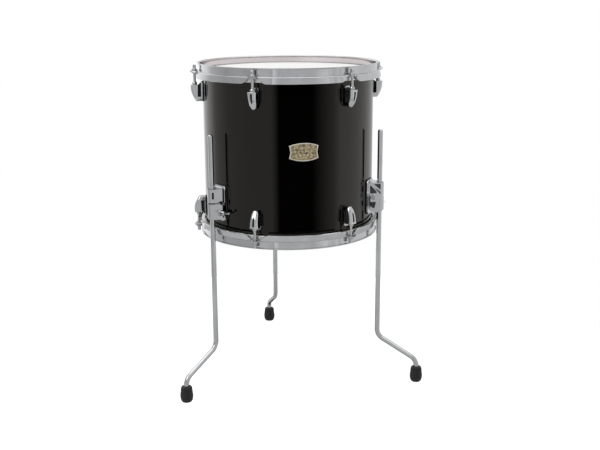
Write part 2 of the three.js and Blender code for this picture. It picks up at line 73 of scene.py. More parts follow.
ENDS = {"batter": False, "resonant": True}
LUGS = 6
LUG_AZIMUTHS = [30 + 360 / LUGS * i for i in range(LUGS)]
ROD_CIRCLE = SHELL_RADIUS + 16.5
ROD_RADIUS = 2.8
LEDGE = RIM - 16
MOUTH = RIM - 44
LUG_TIP = RIM - 78
ROD_END = MOUTH - 20
LEG_CIRCLE = SHELL_RADIUS + 23
LEG_RADIUS = 5.25
LEGS = {"left": (-60, 10), "right": (60, -2), "rear": (180, 2)}
SHEET = 2.3

# ---- outlines and solids ----


def arc_points(before, corner, after, radius, steps):
    """The arc that rounds a corner, from the side of before to the side of after."""
    towards = (before - corner).normalized()
    away = (after - corner).normalized()
    half = towards.angle(away) / 2
    if radius == 0 or half > radians(89.5):
        return [corner.copy() for _ in range(steps + 1)]
    centre = corner + (towards + away).normalized() * radius / sin(half)
    start = corner + towards * radius / tan(half) - centre
    end = corner + away * radius / tan(half) - centre
    sweep = start.angle(end)
    points = []
    for i in range(steps + 1):
        share = i / steps
        weight = sin((1 - share) * sweep) / sin(sweep), sin(share * sweep) / sin(sweep)
        points.append(centre + start * weight[0] + end * weight[1])
    return points


def rounded(corners, steps=4):
    """A closed outline through (x, y, radius) corners, each rounded by an arc."""
    places = [Vector(corner[:2]) for corner in corners]
    outline = []
    for i, (x, y, radius) in enumerate(corners):
        if radius == 0:
            outline.append(places[i])
        else:
            after = places[(i + 1) % len(places)]
            outline.extend(arc_points(places[i - 1], places[i], after, radius, steps))
    return outline


def solid(points, faces):
    """A closed mesh in millimetres, as an object that can still be cut and joined."""
    mesh = bpy.data.meshes.new("blank")
    mesh.from_pydata([tuple(p) for p in points], [], faces)
    return blank(mesh)


def new_object(name, data):
    piece = bpy.data.objects.new(name, data)
    bpy.context.collection.objects.link(piece)
    return piece


def blank(mesh):
    shape = bmesh.new()
    shape.from_mesh(mesh)
    bmesh.ops.recalc_face_normals(shape, faces=shape.faces)
    shape.to_mesh(mesh)
    shape.free()
    return new_object("blank", mesh)


def loft(rings, closed=False):
    """A skin over closed rings of points. The end rings are filled, or joined to each other if closed."""
    count = len(rings[0])
    faces = []
    for i in range(len(rings) if closed else len(rings) - 1):
        first = i * count
        second = (i + 1) % len(rings) * count
        for j in range(count):
            k = (j + 1) % count
            faces.append((first + j, first + k, second + k, second + j))
    if not closed:
        last = (len(rings) - 1) * count
        faces.append(tuple(reversed(range(count))))
        faces.append(tuple(range(last, last + count)))
    return solid([p for ring in rings for p in ring], faces)


def circle(radius, height, sides, centre=(0, 0)):
    """A level ring of points. Its radius is a number, or a function of the angle."""
    x, y = centre
    ring = []
    for i in range(sides):
        angle = 2 * pi * i / sides
        reach = radius(angle) if callable(radius) else radius
        ring.append(Vector((x + reach * cos(angle), y + reach * sin(angle), height)))
    return ring


def turned(profile, sides, closed=False, centre=(0, 0)):
    """A body of revolution from (radius, height) pairs."""
    return loft([circle(r, h, sides, centre) for r, h in profile], closed)


def ring_of(section, sides, distance=0):
    """A ring of revolution about an upright axis at this distance, its section's corners rounded."""
    return turned(rounded(section), sides, closed=True, centre=(0, -distance))


FRONT = Matrix(((1, 0, 0, 0), (0, 0, -1, 0), (0, 1, 0, 0), (0, 0, 0, 1)))  # (x, height), outwards
SIDE = Matrix(((0, 0, 1, 0), (-1, 0, 0, 0), (0, 1, 0, 0), (0, 0, 0, 1)))  # (distance, height), along X
PLAN = Matrix.Identity(4)  # (x, y), upwards


def prism(outline, low, high, axes, rounding=0, round_low=True):
    """An outline extruded from low to high, with the edges of its ends rounded."""
    shape = bmesh.new()
    ends = [[shape.verts.new((u, v, depth)) for u, v in outline] for depth in (low, high)]
    caps = [shape.faces.new(end) for end in ends]
    count = len(outline)
    for i in range(count):
        j = (i + 1) % count
        shape.faces.new((ends[0][i], ends[0][j], ends[1][j], ends[1][i]))
    if rounding:
        edges = [edge for cap in caps[0 if round_low else 1 :] for edge in cap.edges]
        bmesh.ops.bevel(shape, geom=edges, offset=rounding, segments=3, profile=0.5, affect="EDGES")
    mesh = bpy.data.meshes.new("blank")
    shape.to_mesh(mesh)
    shape.free()
    mesh.transform(axes)
    return blank(mesh)


def lying(distance, height):
    """The frame that lays an upright body along X, at this distance and height."""
    return Matrix.Translation((0, -distance, height)) @ Matrix.Rotation(pi / 2, 4, "Y")


def rod(radius, low, high, distance, sides=32, height=None, ease=0):
    """A round bar with eased ends: upright, or along X when its height is given."""
    profile = [(radius - ease, low), (radius, low + ease), (radius, high - ease), (radius - ease, high)]
    body = turned(profile if ease else [(radius, low), (radius, high)], sides)
    upright = Matrix.Translation((0, -distance, 0))
    body.data.transform(upright if height is None else lying(distance, height))
    return body


def combine(body, tool, operation):
    modifier = body.modifiers.new(operation, "BOOLEAN")
    modifier.object = tool
    modifier.operation = operation
    modifier.solver = "MANIFOLD"
    depsgraph = bpy.context.evaluated_depsgraph_get()
    mesh = bpy.data.meshes.new_from_object(body.evaluated_get(depsgraph))
    body.modifiers.clear()
    body.data = mesh
    bpy.data.objects.remove(tool)
    return body


def cut(body, *tools):
    for tool in tools:
        combine(body, tool, "DIFFERENCE")
    return body


def join(body, *tools):
    for tool in tools:
        combine(body, tool, "UNION")
    return body


def common(body, tool):
    return combine(body, tool, "INTERSECT")


def finished(body, *materials, crease=35):
    """The blank's mesh in metres, smooth up to the crease angle, with its large faces kept flat."""
    mesh = body.data
    mesh.transform(Matrix.Scale(MM, 4))
    mesh.polygons.foreach_set("use_smooth", [True] * len(mesh.polygons))
    mesh.set_sharp_from_angle(angle=radians(crease))
    modifier = body.modifiers.new("normals", "WEIGHTED_NORMAL")
    modifier.keep_sharp = True
    depsgraph = bpy.context.evaluated_depsgraph_get()
    done = bpy.data.meshes.new_from_object(body.evaluated_get(depsgraph))
    done.materials.clear()
    for material in materials:
        done.materials.append(material)
    bpy.data.objects.remove(body)
    return done


# ---- places ----


def turn(degrees):
    return Matrix.Rotation(radians(degrees), 4, "Z")


def at(azimuth, flipped=False):
    """The frame of a piece that stands at this azimuth, its heights counted from the shell's middle."""
    if flipped:
        return Matrix.Translation(MIDDLE) @ Matrix.Rotation(pi, 4, "X") @ turn(180 - azimuth)
    return Matrix.Translation(MIDDLE) @ turn(azimuth)


def standing(azimuth, turned_by):
    """The frame of a leg: its own axis, at floor level."""
    floor = Vector((MIDDLE.x, MIDDLE.y, 0))
    out = Matrix.Translation((0, -LEG_CIRCLE * MM, 0))
    return Matrix.Translation(floor) @ turn(azimuth) @ out @ turn(turned_by)


def place(name, mesh, matrix, body, node=None):
    """A piece that rides on this body and, if it is given, stands for this CAD node."""
    piece = new_object(name, mesh)
    piece.matrix_world = matrix
    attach(piece, body)
    if node:
        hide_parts(node)


# ---- materials ----


def add_node(tree, kind, inputs=None, **settings):
    """A node with these settings. Each input is a value, or a socket to link from."""
    node = tree.nodes.new(f"ShaderNode{kind}")
    for name, value in settings.items():
        setattr(node, name, value)
    for name, value in (inputs or {}).items():
        if isinstance(value, bpy.types.NodeSocket):
            tree.links.new(value, node.inputs[name])
        else:
            node.inputs[name].default_value = value
    return node


class Finish:
    """A Principled material and the nodes that give it its detail."""

    def __init__(self, name, **values):
        self.material = bpy.data.materials.new(name)
        self.material.use_nodes = True
        self.tree = self.material.node_tree
        self.shader = self.tree.nodes["Principled BSDF"]
        for socket, value in values.items():
            self.shader.inputs[socket.replace("_", " ")].default_value = value
        self.place = self.add("TexCoord").outputs["Object"]

    def add(self, kind, inputs=None, **settings):
        return add_node(self.tree, kind, inputs, **settings)

    def stretched(self, x, y, z):
        """The place in the object, scaled so that a pattern is stretched."""
        inputs = {0: self.place, 1: (x, y, z)}
        return self.add("VectorMath", inputs, operation="MULTIPLY").outputs[0]

    def noise(self, scale, detail=3, vector=None):
        """Cloudy noise with scale features to the metre."""
        inputs = {"Vector": vector or self.place, "Scale": scale, "Detail": detail}
        return self.add("TexNoise", inputs).outputs[0]

    def cells(self, scale):
        """The distance to the nearest of many scattered points."""
        inputs = {"Vector": self.place, "Scale": scale}
        return self.add("TexVoronoi", inputs).outputs["Distance"]

    def remap(self, value, low, high, first=0.0, second=1.0):
        """The value's range low to high, spread over first to second."""
        inputs = {0: value, 1: low, 2: high, 3: first, 4: second}
        return self.add("MapRange", inputs).outputs[0]

    def product(self, first, second):
        return self.add("Math", {0: first, 1: second}, operation="MULTIPLY").outputs[0]

    def blend(self, share, first, second):
        """A colour between two others, each of them a value or a socket."""
        ends = [end if isinstance(end, bpy.types.NodeSocket) else (*end, 1) for end in (first, second)]
        inputs = {0: share, 6: ends[0], 7: ends[1]}
        return self.add("Mix", inputs, data_type="RGBA").outputs[2]

    def feed(self, socket, value):
        self.tree.links.new(value, self.shader.inputs[socket])

    def colour(self, share, first, second):
        self.feed("Base Color", self.blend(share, first, second))

    def tones(self, pattern, first, second, low=0.3, high=0.7):
        """The surface's colour, from first where the pattern is low to second where it is high."""
        self.colour(self.remap(pattern, low, high), first, second)

    def roughness(self, pattern, first, second, low=0.3, high=0.7):
        self.feed("Roughness", self.remap(pattern, low, high, first, second))

    def bump(self, height, strength, distance, under=None):
        """Relief that this height gives the surface, on top of any relief under it."""
        inputs = {"Height": height, "Strength": strength, "Distance": distance}
        if under:
            inputs["Normal"] = under
        normal = self.add("Bump", inputs).outputs[0]
        self.feed("Normal", normal)
        return normal

    def height(self):
        return self.add("SeparateXYZ", {0: self.place}).outputs[2]

    def radius(self):
        """The distance from the object's own axis."""
        flat = self.stretched(1, 1, 0)
        return self.add("VectorMath", {0: flat}, operation="LENGTH").outputs["Value"]

    def rings(self, density):
        """Fine lines that run round the object's own axis."""
        lines = self.add("CombineXYZ", {0: self.radius(), 1: self.height()})
        return self.noise(density, 4, lines.outputs[0])


def black_lacquer():
    """Polished polyester over black: a faint orange peel, hairlines and a little dust."""
    finish = Finish("black_lacquer", Roughness=0.05, IOR=1.5, Specular_Tint=(1, 0.955, 0.84, 1))
    dust = finish.remap(finish.cells(420), 0.0, 0.05, 1.0, 0.0)
    patches = finish.remap(finish.noise(9, 4), 0.55, 0.8, 0.0, 0.25)
    finish.colour(finish.product(dust, patches), (0.0012, 0.0012, 0.0012), (0.08, 0.08, 0.078))
    hairlines = finish.noise(60, 5, finish.stretched(1, 1, 24))
    finish.roughness(hairlines, 0.03, 0.085, 0.35, 0.75)
    finish.bump(finish.noise(210, 1), 0.035, 0.0004)
    return finish.material


def birch():
    """Bare birch ply, its grain round the shell."""
    finish = Finish("birch", Roughness=0.55)
    grain = finish.noise(22, 6, finish.stretched(1, 1, 30))
    finish.tones(grain, (0.62, 0.43, 0.24), (0.44, 0.27, 0.13))
    finish.bump(grain, 0.25, 0.0003)
    return finish.material


def chrome(name, smooth, rough, wave, clean=0.62, smeared=0.525, rosy_reflection_within=0.0):
    """Chrome plate with faint smears, hairlines and the slight waviness of the metal below, and, if asked,
    a painted rosy reflection inside a ring.
    """
    finish = Finish(name, Metallic=1.0)
    smears = finish.noise(38, 5)
    tones = [(shade, shade * 1.015, shade * 1.035) for shade in (clean, smeared)]
    shade = finish.blend(finish.remap(smears, 0.35, 0.75), *tones)
    if rosy_reflection_within:  # painted reflection: a faint rosy tint on the inside of a ring
        inside = finish.remap(finish.radius(), rosy_reflection_within * MM, (rosy_reflection_within + 0.2) * MM, 1.0, 0.0)
        painted_rosy_reflection = finish.blend(smears, (0.69, 0.64, 0.66), (0.64, 0.595, 0.615))
        shade = finish.blend(inside, shade, painted_rosy_reflection)
    finish.feed("Base Color", shade)
    hairlines = finish.noise(900, 2, finish.stretched(1, 1, 9))
    mixed = finish.product(smears, hairlines)
    finish.roughness(mixed, smooth, rough, 0.12, 0.42)
    waviness = finish.bump(finish.noise(55, 1), wave, 0.0006)
    finish.bump(hairlines, 0.03, 0.0001, waviness)
    return finish.material


def bright_steel():
    """Plated steel with a duller, slightly grained surface."""
    finish = Finish("bright_steel", Metallic=1.0)
    grain = finish.noise(1400, 3)
    patches = finish.noise(150, 3)
    finish.tones(patches, (0.6, 0.6, 0.61), (0.46, 0.46, 0.465), 0.35)
    finish.roughness(grain, 0.14, 0.28)
    finish.bump(grain, 0.06, 0.0001)
    return finish.material


def aluminium():
    """Extruded aluminium with drawing lines round the ring."""
    finish = Finish("aluminium", Metallic=1.0)
    lines = finish.rings(2600)
    finish.tones(lines, (0.78, 0.78, 0.77), (0.62, 0.62, 0.62))
    finish.roughness(lines, 0.24, 0.42)
    finish.bump(lines, 0.12, 0.0001)
    return finish.material


def coated_film():
    """White sprayed coating: a fine grit, with soft grey marks where sticks have landed."""
    finish = Finish("coated_film", IOR=1.45)
    grit = finish.noise(2300, 2)
    radius = finish.radius()
    played = finish.remap(radius, 0.03, 0.11, 0.5, 0.0)
    marks = finish.product(played, finish.remap(finish.noise(70, 6), 0.5, 0.75))
    worn = finish.blend(marks, (0.86, 0.857, 0.84), (0.6, 0.595, 0.58))
    bare = finish.remap(radius, 0.1705, 0.1715)
    finish.feed("Base Color", finish.blend(bare, worn, (0.66, 0.665, 0.66)))
    finish.roughness(grit, 0.5, 0.72)
    finish.bump(grit, 0.35, 0.00015)
    return finish.material


def clear_film():
    """Thin clear polyester with a few rub marks."""
    finish = Finish("clear_film", IOR=1.5, Transmission_Weight=1.0)
    rubs = finish.noise(45, 6, finish.stretched(1, 3, 1))
    finish.tones(rubs, (0.95, 0.96, 0.97), (0.85, 0.86, 0.87), 0.4, 0.8)
    finish.roughness(rubs, 0.03, 0.16, 0.4, 0.75)
    return finish.material


def brass_field():
    """The badge's antique brass ground, stippled by the die."""
    finish = Finish("brass_field", Metallic=0.6)
    stipple = finish.cells(1500)
    tarnish = finish.noise(210, 5)
    finish.tones(tarnish, (0.5, 0.42, 0.24), (0.13, 0.1, 0.065), 0.38, 0.62)
    finish.roughness(tarnish, 0.35, 0.6)
    finish.bump(stipple, 0.8, 0.0003)
    return finish.material


def rubber():
    """Moulded black rubber, dusty where it has stood on the floor."""
    finish = Finish("rubber", IOR=1.5)
    grain = finish.noise(1300, 4)
    low = finish.remap(finish.height(), 0.001, 0.009, 0.55, 0.0)
    dust = finish.product(low, finish.remap(finish.noise(240, 5), 0.35, 0.7, 0.2, 1.0))
    finish.colour(dust, (0.011, 0.011, 0.0115), (0.09, 0.087, 0.08))
    finish.roughness(grain, 0.42, 0.62)
    finish.bump(grain, 0.25, 0.0002)
    return finish.material


def patterned(name, grain, tones, rough, relief, **values):
    """A surface whose colour, roughness and relief all follow one noise."""
    finish = Finish(name, **values)
    pattern = finish.noise(*grain)
    finish.tones(pattern, *tones)
    finish.roughness(pattern, *rough)
    finish.bump(pattern, *relief)
    return finish.material


LACQUER = black_lacquer()
BIRCH = birch()
# the pressed chrome has a painted rosy reflection on the inside of the hoop's wall
PRESSED_CHROME = chrome("pressed_chrome", 0.035, 0.12, 0.1, rosy_reflection_within=SHELL_RADIUS + 5.9)
CAST_CHROME = chrome("cast_chrome", 0.05, 0.16, 0.22)
TUBE_CHROME = chrome("tube_chrome", 0.04, 0.13, 0.04, 0.59, 0.51)
STEEL = bright_steel()
ALUMINIUM = aluminium()
COATED = coated_film()
CLEAR = clear_film()
BRASS = brass_field()
RUBBER = rubber()
# painted shade: dark metal for the floor of a casting's pocket, where shade falls
tones = (0.1, 0.1, 0.102), (0.05, 0.05, 0.052)
POCKET_SHADE = patterned("painted_pocket_shade", (900, 4), tones, (0.3, 0.5), (0.4, 0.0002), Metallic=0.9)
# the badge's raised lozenges, paler than the field
tones = (0.66, 0.58, 0.4), (0.34, 0.28, 0.17), 0.38, 0.62
GILT = patterned("gilt", (320, 4), tones, (0.3, 0.55), (0.3, 0.0001), Metallic=0.6)
# the badge's raised rim and motif, worn bright
tones = (0.86, 0.83, 0.76), (0.68, 0.63, 0.52), 0.35
BADGE_RIM = patterned("polished_rim", (260, 4), tones, (0.25, 0.4), (0.1, 0.0001), Metallic=1.0)
# moulded dark nylon with a faint bloom
tones = (0.018, 0.018, 0.019), (0.05, 0.05, 0.052), 0.3, 0.75
NYLON = patterned("nylon", (420, 5), tones, (0.35, 0.55), (0.12, 0.0002), IOR=1.53)
METALS = (PRESSED_CHROME, CAST_CHROME, TUBE_CHROME, STEEL, ALUMINIUM, BADGE_RIM)

# ---- shell and badge ----

SHELL_SIDES = 240


def shell():
    """A ply tube, lacquered outside and on the outer slope of its bearing edges."""
    wall = 6.5
    inner = SHELL_RADIUS - wall
    peak = SHELL_RADIUS - 2
    drop = peak - inner
    ease = 0.8
    low = [(inner, drop - EDGE, 0.6), (peak, -EDGE, ease), (SHELL_RADIUS, 2 - EDGE, ease)]
    corners = low + [(radius, -height, easing) for radius, height, easing in reversed(low)]
    mesh = finished(ring_of(corners, SHELL_SIDES), LACQUER, BIRCH, crease=60)
    for face in mesh.polygons:
        distance = Vector(face.center[:2]).length / MM
        face.material_index = 0 if distance > SHELL_RADIUS - ease else 1
    return mesh


BADGE_HALF_WIDTH = 29
BADGE_CORNER = 12.5
BADGE_CROWN = 5.5
BADGE_MIDDLE = 16
MOTIF_HALF_WIDTH = 21


def badge_motif(x, height):
    """Three rows of small lozenges, staggered, the lowest one larger."""
    rows = ((8, 5.2, 1.7, 1.5), (1.5, 6.4, 2.1, 2.3), (-7, 7.4, 2.6, 3.6))
    for level, pitch, half_width, half_height in rows:
        shift = pitch / 2 if level > 0 else 0
        column = round((x - shift) / pitch)
        reach = abs(x - shift - column * pitch) / half_width + abs(height - level) / half_height
        if reach < 1 and abs(x) < MOTIF_HALF_WIDTH:
            return True
    return False


def badge():
    """A barrel-shaped plate bent round the shell, with a raised rim and motif on a sunken field."""
    columns, rows = 132, 84
    back = SHELL_RADIUS + 0.3
    rim_width = 1.9
    field, raised, edge, bevel = 0.85, 1.25, 0.75, 0.5
    points = []
    marks = []
    for outer in (False, True):
        for j in range(rows + 1):
            for i in range(columns + 1):
                u = 2 * i / columns - 1
                v = 2 * j / rows - 1
                half_height = BADGE_CORNER + BADGE_CROWN * (1 - u * u)
                half_width = BADGE_HALF_WIDTH - 2.5 * (1 - abs(v))
                x = u * half_width
                height = v * half_height
                inset = min((1 - abs(u)) * half_width, (1 - abs(v)) * half_height)
                part = 1 if inset < rim_width else 2 if badge_motif(x, height) else 0
                thickness = edge + inset if inset < bevel else raised if part else field
                distance = back + (thickness if outer else 0)
                angle = x / SHELL_RADIUS
                across, out = distance * sin(angle), distance * cos(angle)
                points.append((across, -out, height + BADGE_MIDDLE))
                if outer:
                    marks.append(part)
    wide = columns + 1
    sheet = wide * (rows + 1)
    faces = []
    for j in range(rows):
        for i in range(columns):
            a = j * wide + i
            faces.append((a, a + wide, a + wide + 1, a + 1))
            faces.append((sheet + a, sheet + a + 1, sheet + a + wide + 1, sheet + a + wide))
    border = list(range(wide))
    border += [j * wide + columns for j in range(1, rows + 1)]
    border += [rows * wide + i for i in range(columns - 1, -1, -1)]
    border += [j * wide for j in range(rows - 1, 0, -1)]
    for a, b in zip(border, border[1:] + border[:1]):
        faces.append((a, b, b + sheet, a + sheet))
    mesh = finished(solid(points, faces), BRASS, BADGE_RIM, GILT, crease=50)
    for face in mesh.polygons:
        outer = [marks[i - sheet] for i in face.vertices if i >= sheet]
        face.material_index = max(outer, default=1)
    return mesh


# ---- heads and hoops ----


def film():
    """The head's film: flat over the bearing edge, then down a rounded collar into its flesh hoop."""
    top = EDGE + 0.9
    under = EDGE + 0.3
    foot = LEDGE - 10
    collar = [(-2.6, under), (0.3, under - 1.6), (1.3, under - 4.5), (3.4, foot), (4.2, foot)]
    collar += [(2.0, under - 4.2), (0.9, under - 1.2), (-0.6, top - 0.5), (-2.4, top)]
    skin = [(SHELL_RADIUS + out, height) for out, height in collar]
    return turned([(0.5, under)] + skin + [(0.5, top)], SHELL_SIDES)


def flesh_hoop():
    """The channel that grips the film's edge, under the hoop's ledge."""
    top = LEDGE - SHEET - 0.3
    inner = SHELL_RADIUS + 2.6
    outer = SHELL_RADIUS + 10.4
    corners = [(inner, top - 9, 1), (outer, top - 9, 1), (outer, top, 1.6), (inner, top, 0.6)]
    return ring_of(corners, SHELL_SIDES)


WALL = SHELL_RADIUS + 5.7 + SHEET / 2
EAR_HALF_WIDTH = 10
SWEEP = 18  # how far each side of an ear the skirt takes to reach its full depth


def smooth_step(value, low, high):
    share = min(max((value - low) / (high - low), 0), 1)
    return share * share * (3 - 2 * share)


def hoop_columns():
    """Angles round the hoop with, for each, the distance along the rim from the nearest rod."""
    ear_steps, sweep_steps, plain_steps = 14, 16, 14
    half_pitch = pi * ROD_CIRCLE / LUGS
    offsets = [EAR_HALF_WIDTH * sin(pi / 2 * i / ear_steps) for i in range(ear_steps)]
    offsets += [EAR_HALF_WIDTH + (SWEEP + 2) * (i / sweep_steps) ** 1.5 for i in range(sweep_steps)]
    plain_start = EAR_HALF_WIDTH + SWEEP + 2
    offsets += [plain_start + (half_pitch - plain_start) * i / plain_steps for i in range(plain_steps + 1)]
    around = [-x for x in reversed(offsets[1:])] + offsets[:-1]
    columns = []
    for azimuth in LUG_AZIMUTHS:
        columns += [(radians(azimuth) + x / ROD_CIRCLE, abs(x)) for x in around]
    return columns


def skirt_reach(x):
    """The length of sheet past the ledge's corner: an ear at the rod, and the skirt away from it."""
    shoulder = 1
    if x < EAR_HALF_WIDTH:
        return shoulder + 11.8 * (1 - (x / EAR_HALF_WIDTH) ** 2.4) ** (1 / 2.4)
    share = min((x - EAR_HALF_WIDTH) / SWEEP, 1)
    return shoulder + 11 * (1 - (1 - share) ** 2.2)


def spread(points, count):
    """The same path with its points evenly spaced."""
    lengths = [0]
    for a, b in zip(points, points[1:]):
        lengths.append(lengths[-1] + (b - a).length)
    result = []
    k = 0
    for i in range(count):
        target = lengths[-1] * i / (count - 1)
        while k < len(points) - 2 and lengths[k + 1] < target:
            k += 1
        span = lengths[k + 1] - lengths[k]
        share = (target - lengths[k]) / span if span > 0 else 0
        result.append(points[k].lerp(points[k + 1], share))
    return result


def hoop_section(x):
    """The middle line of the sheet at this distance from a rod, as (radius, height)."""
    lip = Vector((WALL + 3.2, RIM - SHEET / 2))
    top_corner = Vector((WALL, RIM - SHEET / 2))
    low_corner = Vector((WALL, LEDGE - SHEET / 2))
    ledge_corner = Vector((WALL + 5.6, LEDGE - SHEET / 2))
    fold = smooth_step(x, 6.5, 14) * radians(79)
    end = ledge_corner + skirt_reach(x) * Vector((cos(fold), -sin(fold)))
    bend = 1.7
    path = [lip] + arc_points(lip, top_corner, low_corner, bend, 5)
    path += spread([path[-1], low_corner + Vector((0, bend))], 5)[1:]
    path += arc_points(top_corner, low_corner, ledge_corner, bend, 5)[1:]
    rest = [path[-1]] + arc_points(low_corner, ledge_corner, end, min(bend, skirt_reach(x)), 6) + [end]
    return path + spread(rest, 20)[1:]


def thickened(path, thickness):
    """A closed loop round both sides of a path, with rounded ends."""
    left, right = [], []
    for i, point in enumerate(path):
        along = (path[min(i + 1, len(path) - 1)] - path[max(i - 1, 0)]).normalized()
        across = Vector((-along.y, along.x)) * thickness / 2
        left.append(point + across)
        right.append(point - across)
    caps = []
    for point, before in ((path[-1], path[-2]), (path[0], path[1])):
        out = (point - before).normalized()
        side = Vector((-out.y, out.x))
        angles = [radians(a) for a in (45, 0, -45)]
        caps.append([point + (out * cos(a) + side * sin(a)) * thickness / 2 for a in angles])
    return left + caps[0] + right[::-1] + caps[1]


def hoop():
    """A pressed steel hoop: rolled lip, wall, ledge and skirt, with an ear for each tension rod."""
    rings = []
    for angle, x in hoop_columns():
        loop = thickened(hoop_section(x), SHEET)
        rings.append([Vector((r * sin(angle), -r * cos(angle), h)) for r, h in loop])
    body = loft(rings, closed=True)
    for azimuth in LUG_AZIMUTHS:
        hole = rod(ROD_RADIUS + 0.7, LEDGE - SHEET - 1, LEDGE + 1, ROD_CIRCLE, 24)
        hole.data.transform(turn(azimuth))
        cut(body, hole)
    return finished(body, PRESSED_CHROME, crease=40)


# ---- lugs and tension rods ----

LUG_FACE = SHELL_RADIUS + 4.4
WEDGE_FLOOR = LUG_TIP + 9.5


def lug_plate(grow, inner, outer, rounding):
    """A shield-shaped plate against the shell, under the lug's arm."""
    right = [(2, LUG_TIP - grow, 3), (5.6, LUG_TIP + 6, 6)]
    right += [(7.6, MOUTH - 4, 8), (7.4, MOUTH + 6.5 + grow, 3)]
    right = [(x + grow, height, radius) for x, height, radius in right]
    left = [(-x, height, radius) for x, height, radius in reversed(right)]
    return prism(rounded(left + right, 5), inner, outer, FRONT, rounding, round_low=False)


def lug_front(share):
    """Distance of the arm's front from the drum's axis, from its tip to its mouth."""
    tip, face = ROD_CIRCLE - 1.8, ROD_CIRCLE + 8.3
    return tip + (face - tip) * (1 - (1 - min(share / 0.82, 1)) ** 1.9)


def lug():
    """A cast lug: an arm round the rod that leans back to a blunt tip, with an open wedge behind it."""
    length = MOUTH - LUG_TIP
    steps = 26
    rings = []
    for i in range(steps + 1):
        share = (i / steps) ** 1.35
        height = LUG_TIP + length * share
        nose = sqrt(1 - (1 - min(share * length / 9, 1)) ** 2)
        half = 2.2 + 4.6 * nose + 1.9 * share
        bead = 0.4 * smooth_step(height, MOUTH - 3.2, MOUTH - 2.2)
        front = lug_front(share) + bead
        back = SHELL_RADIUS + 1.5
        corner = min(half * 0.75, 4.8)
        half += bead
        sides = [(-half, -back, 0.5), (half, -back, 0.5), (half, -front, corner), (-half, -front, corner)]
        outline = rounded(sides, 6)
        rings.append([(x, y, height) for x, y in outline])
    rings.pop()
    middle = Vector((0, -ROD_CIRCLE))
    ease = 0.7
    for angle in (0, 30, 60, 90):
        inset = ease * (1 - cos(radians(angle)))
        level = MOUTH - ease * (1 - sin(radians(angle)))
        rim = [point + (middle - point).normalized() * inset for point in outline]
        rings.append([(x, y, level) for x, y in rim])
    arm = loft(rings)
    wedge_corners = [(LUG_FACE, MOUTH + 3, 0), (LUG_FACE, WEDGE_FLOOR, 0.8)]
    wedge_corners += [(ROD_CIRCLE - 4.8, WEDGE_FLOOR, 0.8), (ROD_CIRCLE - 5.6, MOUTH + 3, 0)]
    wedge = prism(rounded(wedge_corners), -14, 14, SIDE)
    plate = lug_plate(0, SHELL_RADIUS + 1.2, LUG_FACE, 2.2)
    slot_corners = [(-1.7, ROD_END - 2, 1.6), (1.7, ROD_END - 2, 1.6)]
    slot_corners += [(2.3, MOUTH - 3.4, 2.2), (-2.3, MOUTH - 3.4, 2.2)]
    slot = prism(rounded(slot_corners), ROD_CIRCLE, ROD_CIRCLE + 12, FRONT)
    bore = rod(ROD_RADIUS + 1.9, ROD_END - 3, MOUTH + 1, ROD_CIRCLE)
    return finished(join(cut(arm, wedge, bore, slot), plate), CAST_CHROME, crease=38)


def lug_liner():
    """The nylon tube in the lug that keeps the rod from working loose."""
    inner, outer = ROD_RADIUS + 0.2, ROD_RADIUS + 1.8
    low, high = ROD_END - 2.5, MOUTH - 1.5
    corners = [(inner, low, 0.3), (outer, low, 0.3), (outer, high, 0.3), (inner, high, 0.3)]
    return finished(ring_of(corners, 32, ROD_CIRCLE), NYLON)


def lug_shade_web():
    """A dark nylon web in the wedge between the arm and the plate, put there as painted shade for the
    shadowed hollow.
    """
    corners = [(LUG_FACE + 0.1, WEDGE_FLOOR + 0.1, 0.5), (ROD_CIRCLE - 5, WEDGE_FLOOR + 0.1, 0.5)]
    corners += [(ROD_CIRCLE - 5.8, MOUTH - 1.5, 0.5), (LUG_FACE + 0.1, MOUTH + 4.5, 0.5)]
    return finished(prism(rounded(corners), -2.8, 2.8, SIDE, 0.6), NYLON)


def swivel_nut():
    """The nut that floats in the lug's mouth and takes the rod."""
    inner = ROD_RADIUS + 0.15
    section = [(inner, -1.2, 0.2), (4.2, -1.2, 0.4), (4.2, 1, 0.3), (5.1, 1.2, 0.3)]
    section += [(5.1, 3.2, 0.6), (4, 5.8, 0.8), (inner, 5.8, 0.3)]
    corners = [(radius, MOUTH + height, easing) for radius, height, easing in section]
    return finished(ring_of(corners, 40, ROD_CIRCLE), STEEL)


THREAD_PITCH = 1.0583
THREAD_DEPTH = 0.34
WASHER_LOW = LEDGE + 0.3
WASHER_HIGH = WASHER_LOW + 1.6


def threaded(radius, low, high, sides):
    """Rings of a screw thread, six to each turn."""
    count = round((high - low) / THREAD_PITCH * 6)
    heights = [low + (high - low) * i / count for i in range(count + 1)]

    def flank(height, angle):
        phase = (height / THREAD_PITCH - angle / (2 * pi)) % 1
        return radius - THREAD_DEPTH * abs(2 * phase - 1)

    return [circle(partial(flank, height), height, sides) for height in heights]


def squared(half, height, sides, roundness=7):
    """A ring in the shape of a square with rounded corners."""

    def reach(angle):
        spread = abs(cos(angle)) ** roundness + abs(sin(angle)) ** roundness
        return half / spread ** (1 / roundness)

    return circle(reach, height, sides)


def tension_rod():
    """A rod with a rounded end, a long thread, a plain shank, a collar and a square key head."""
    sides = 40
    collar = WASHER_HIGH + 0.3
    shank = ROD_RADIUS - 0.12
    key = 3.3
    rings = [circle(ROD_RADIUS - 1.1, ROD_END, sides), circle(ROD_RADIUS - 0.5, ROD_END + 0.5, sides)]
    rings += threaded(ROD_RADIUS, ROD_END + 0.8, MOUTH + 9, sides)
    turned_part = [(shank, MOUTH + 9.8), (shank, collar), (5.1, collar), (5.5, collar + 0.4)]
    turned_part += [(5.5, collar + 1.1), (5.1, collar + 1.7), (3.9, collar + 2.1)]
    rings += [circle(r, h, sides) for r, h in turned_part]
    rings += [squared(key, collar + 2.4, sides), squared(key, collar + 9, sides)]
    rings += [squared(key - 0.35, collar + 9.8, sides, 5), squared(key - 1.1, collar + 10.2, sides, 3)]
    for ring in rings:
        for point in ring:
            point.y -= ROD_CIRCLE
    return finished(loft(rings), STEEL, crease=50)


